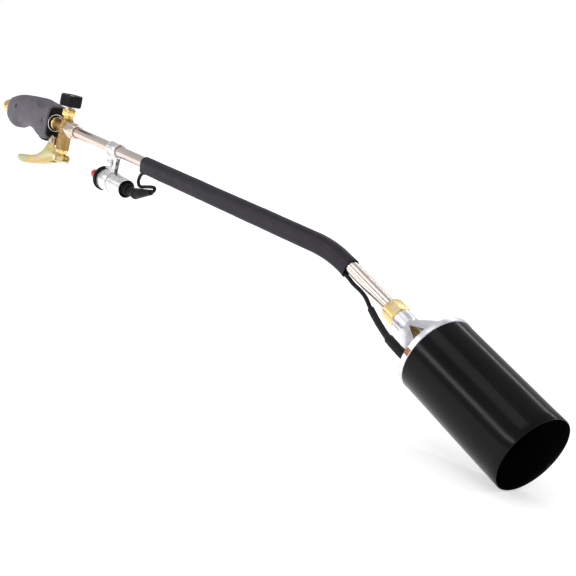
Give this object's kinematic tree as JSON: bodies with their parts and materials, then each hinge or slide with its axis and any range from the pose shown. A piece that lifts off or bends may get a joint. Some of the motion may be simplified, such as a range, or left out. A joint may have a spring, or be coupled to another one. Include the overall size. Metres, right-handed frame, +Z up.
{
  "type": "propane torch",
  "caption": "Long-handled propane torch with a squeeze valve, flow knob, bent lance, push-button igniter and a tubular flame bell.",
  "frame": {"origin": "centre of the gas inlet's mouth, where the hose screws on", "axes": "+X along the lance from the inlet to the bell, +Z up to the flow knob, +Y to the left of the person who holds the grip"},
  "size_m": [0.9451, 0.0708, 0.1541],
  "materials": {
    "grip_plastic": "soft dark grey moulded plastic, fine satin texture",
    "black_plastic": "black moulded plastic",
    "knob_plastic": "black moulded plastic, slightly shiny",
    "cast_brass": "sand-cast, shot-blasted brass",
    "turned_brass": "bright turned brass",
    "satin_brass": "satin brass hexagon",
    "copper_tube": "drawn copper",
    "zinc_yellow": "yellow-passivated zinc plate, faint rainbow tint",
    "nickel": "nickel-plated steel tube, warm reflection",
    "galvanised": "bright zinc-plated sheet",
    "steel": "plain machined steel",
    "spring_steel": "drawn spring wire",
    "sleeve_rubber": "matt charcoal heat-shrink",
    "lead_rubber": "black silicone lead",
    "lead_braid": "black woven heat sleeve",
    "seal_rubber": "black nitrile seal",
    "packing_white": "white gland packing",
    "red_plastic": "glossy red button",
    "piezo_black": "black igniter moulding",
    "ceramic": "glazed white ceramic",
    "copper_clip": "heat-browned copper strip",
    "cast_aluminium": "die-cast aluminium, satin",
    "black_enamel": "black stove enamel, glossy"
  },
  "bodies": {
    "torch": {"inlet_fitting": "turned_brass", "inlet_tube": "copper_tube", "grip_left_half": "grip_plastic", "grip_right_half": "grip_plastic", "grip_screws": "steel", "front_collar": "black_plastic", "mounting_ring": "galvanised", "valve_body": "cast_brass", "stem_packing": "packing_white", "packing_nut": "turned_brass", "plunger_spring": "spring_steel", "plunger_gland": "turned_brass", "lever_pin": "steel", "union_nut": "nickel", "union_ferrule": "turned_brass", "lance_tube": "nickel", "heat_shrink_sleeve": "sleeve_rubber", "clamp_strap": "galvanised", "clamp_bolt": "galvanised", "clamp_nut": "galvanised", "igniter_housing": "galvanised", "piezo_body": "piezo_black", "button_spring": "spring_steel", "terminal_boot": "lead_rubber", "ignition_lead": "lead_rubber", "lead_boot_small": "lead_braid", "lead_boot_large": "lead_braid", "electrode_insulator": "ceramic", "electrode_rod": "steel", "electrode_clip": "copper_clip", "orifice_nut": "satin_brass", "gas_jet": "turned_brass", "bell_carrier": "cast_aluminium", "flame_bell": "black_enamel"},
    "knob": {"needle_stem": "steel", "flow_knob": "knob_plastic", "knob_screw": "steel"},
    "lever": {"squeeze_lever": "zinc_yellow"},
    "plunger": {"plunger": "satin_brass", "plunger_seal": "seal_rubber", "plunger_nut": "galvanised", "cross_pin": "turned_brass", "pin_clip": "galvanised"},
    "button": {"igniter_button": "red_plastic"}
  },
  "joints": [
    {"name": "flow_knob_turn", "type": "hinge", "parent": "torch", "child": "knob", "pos_m": [0.1653, 0, 0.03], "axis": [0, 0, 1], "range_deg": [0, 720]},
    {"name": "lever_squeeze", "type": "hinge", "parent": "torch", "child": "lever", "pos_m": [0.1495, 0, -0.016], "axis": [0, 1, 0], "range_deg": [0, 12], "stiffness_Nm_per_rad": 4, "springref_deg": -5.73},
    {"name": "plunger_pull", "type": "slide", "parent": "torch", "child": "plunger", "axis": [0, 0, -1], "range_m": [0, 0.0034], "deforming": ["plunger_spring"]},
    {"name": "igniter_press", "type": "slide", "parent": "torch", "child": "button", "axis": [1, 0, 0], "range_m": [0, 0.006], "stiffness_N_per_m": 3000, "springref_m": -0.002, "deforming": ["button_spring"]}
  ],
  "couplings": [
    {"joint": "plunger_pull", "follows": "lever_squeeze", "m_per_rad": 0.0158}
  ]
}
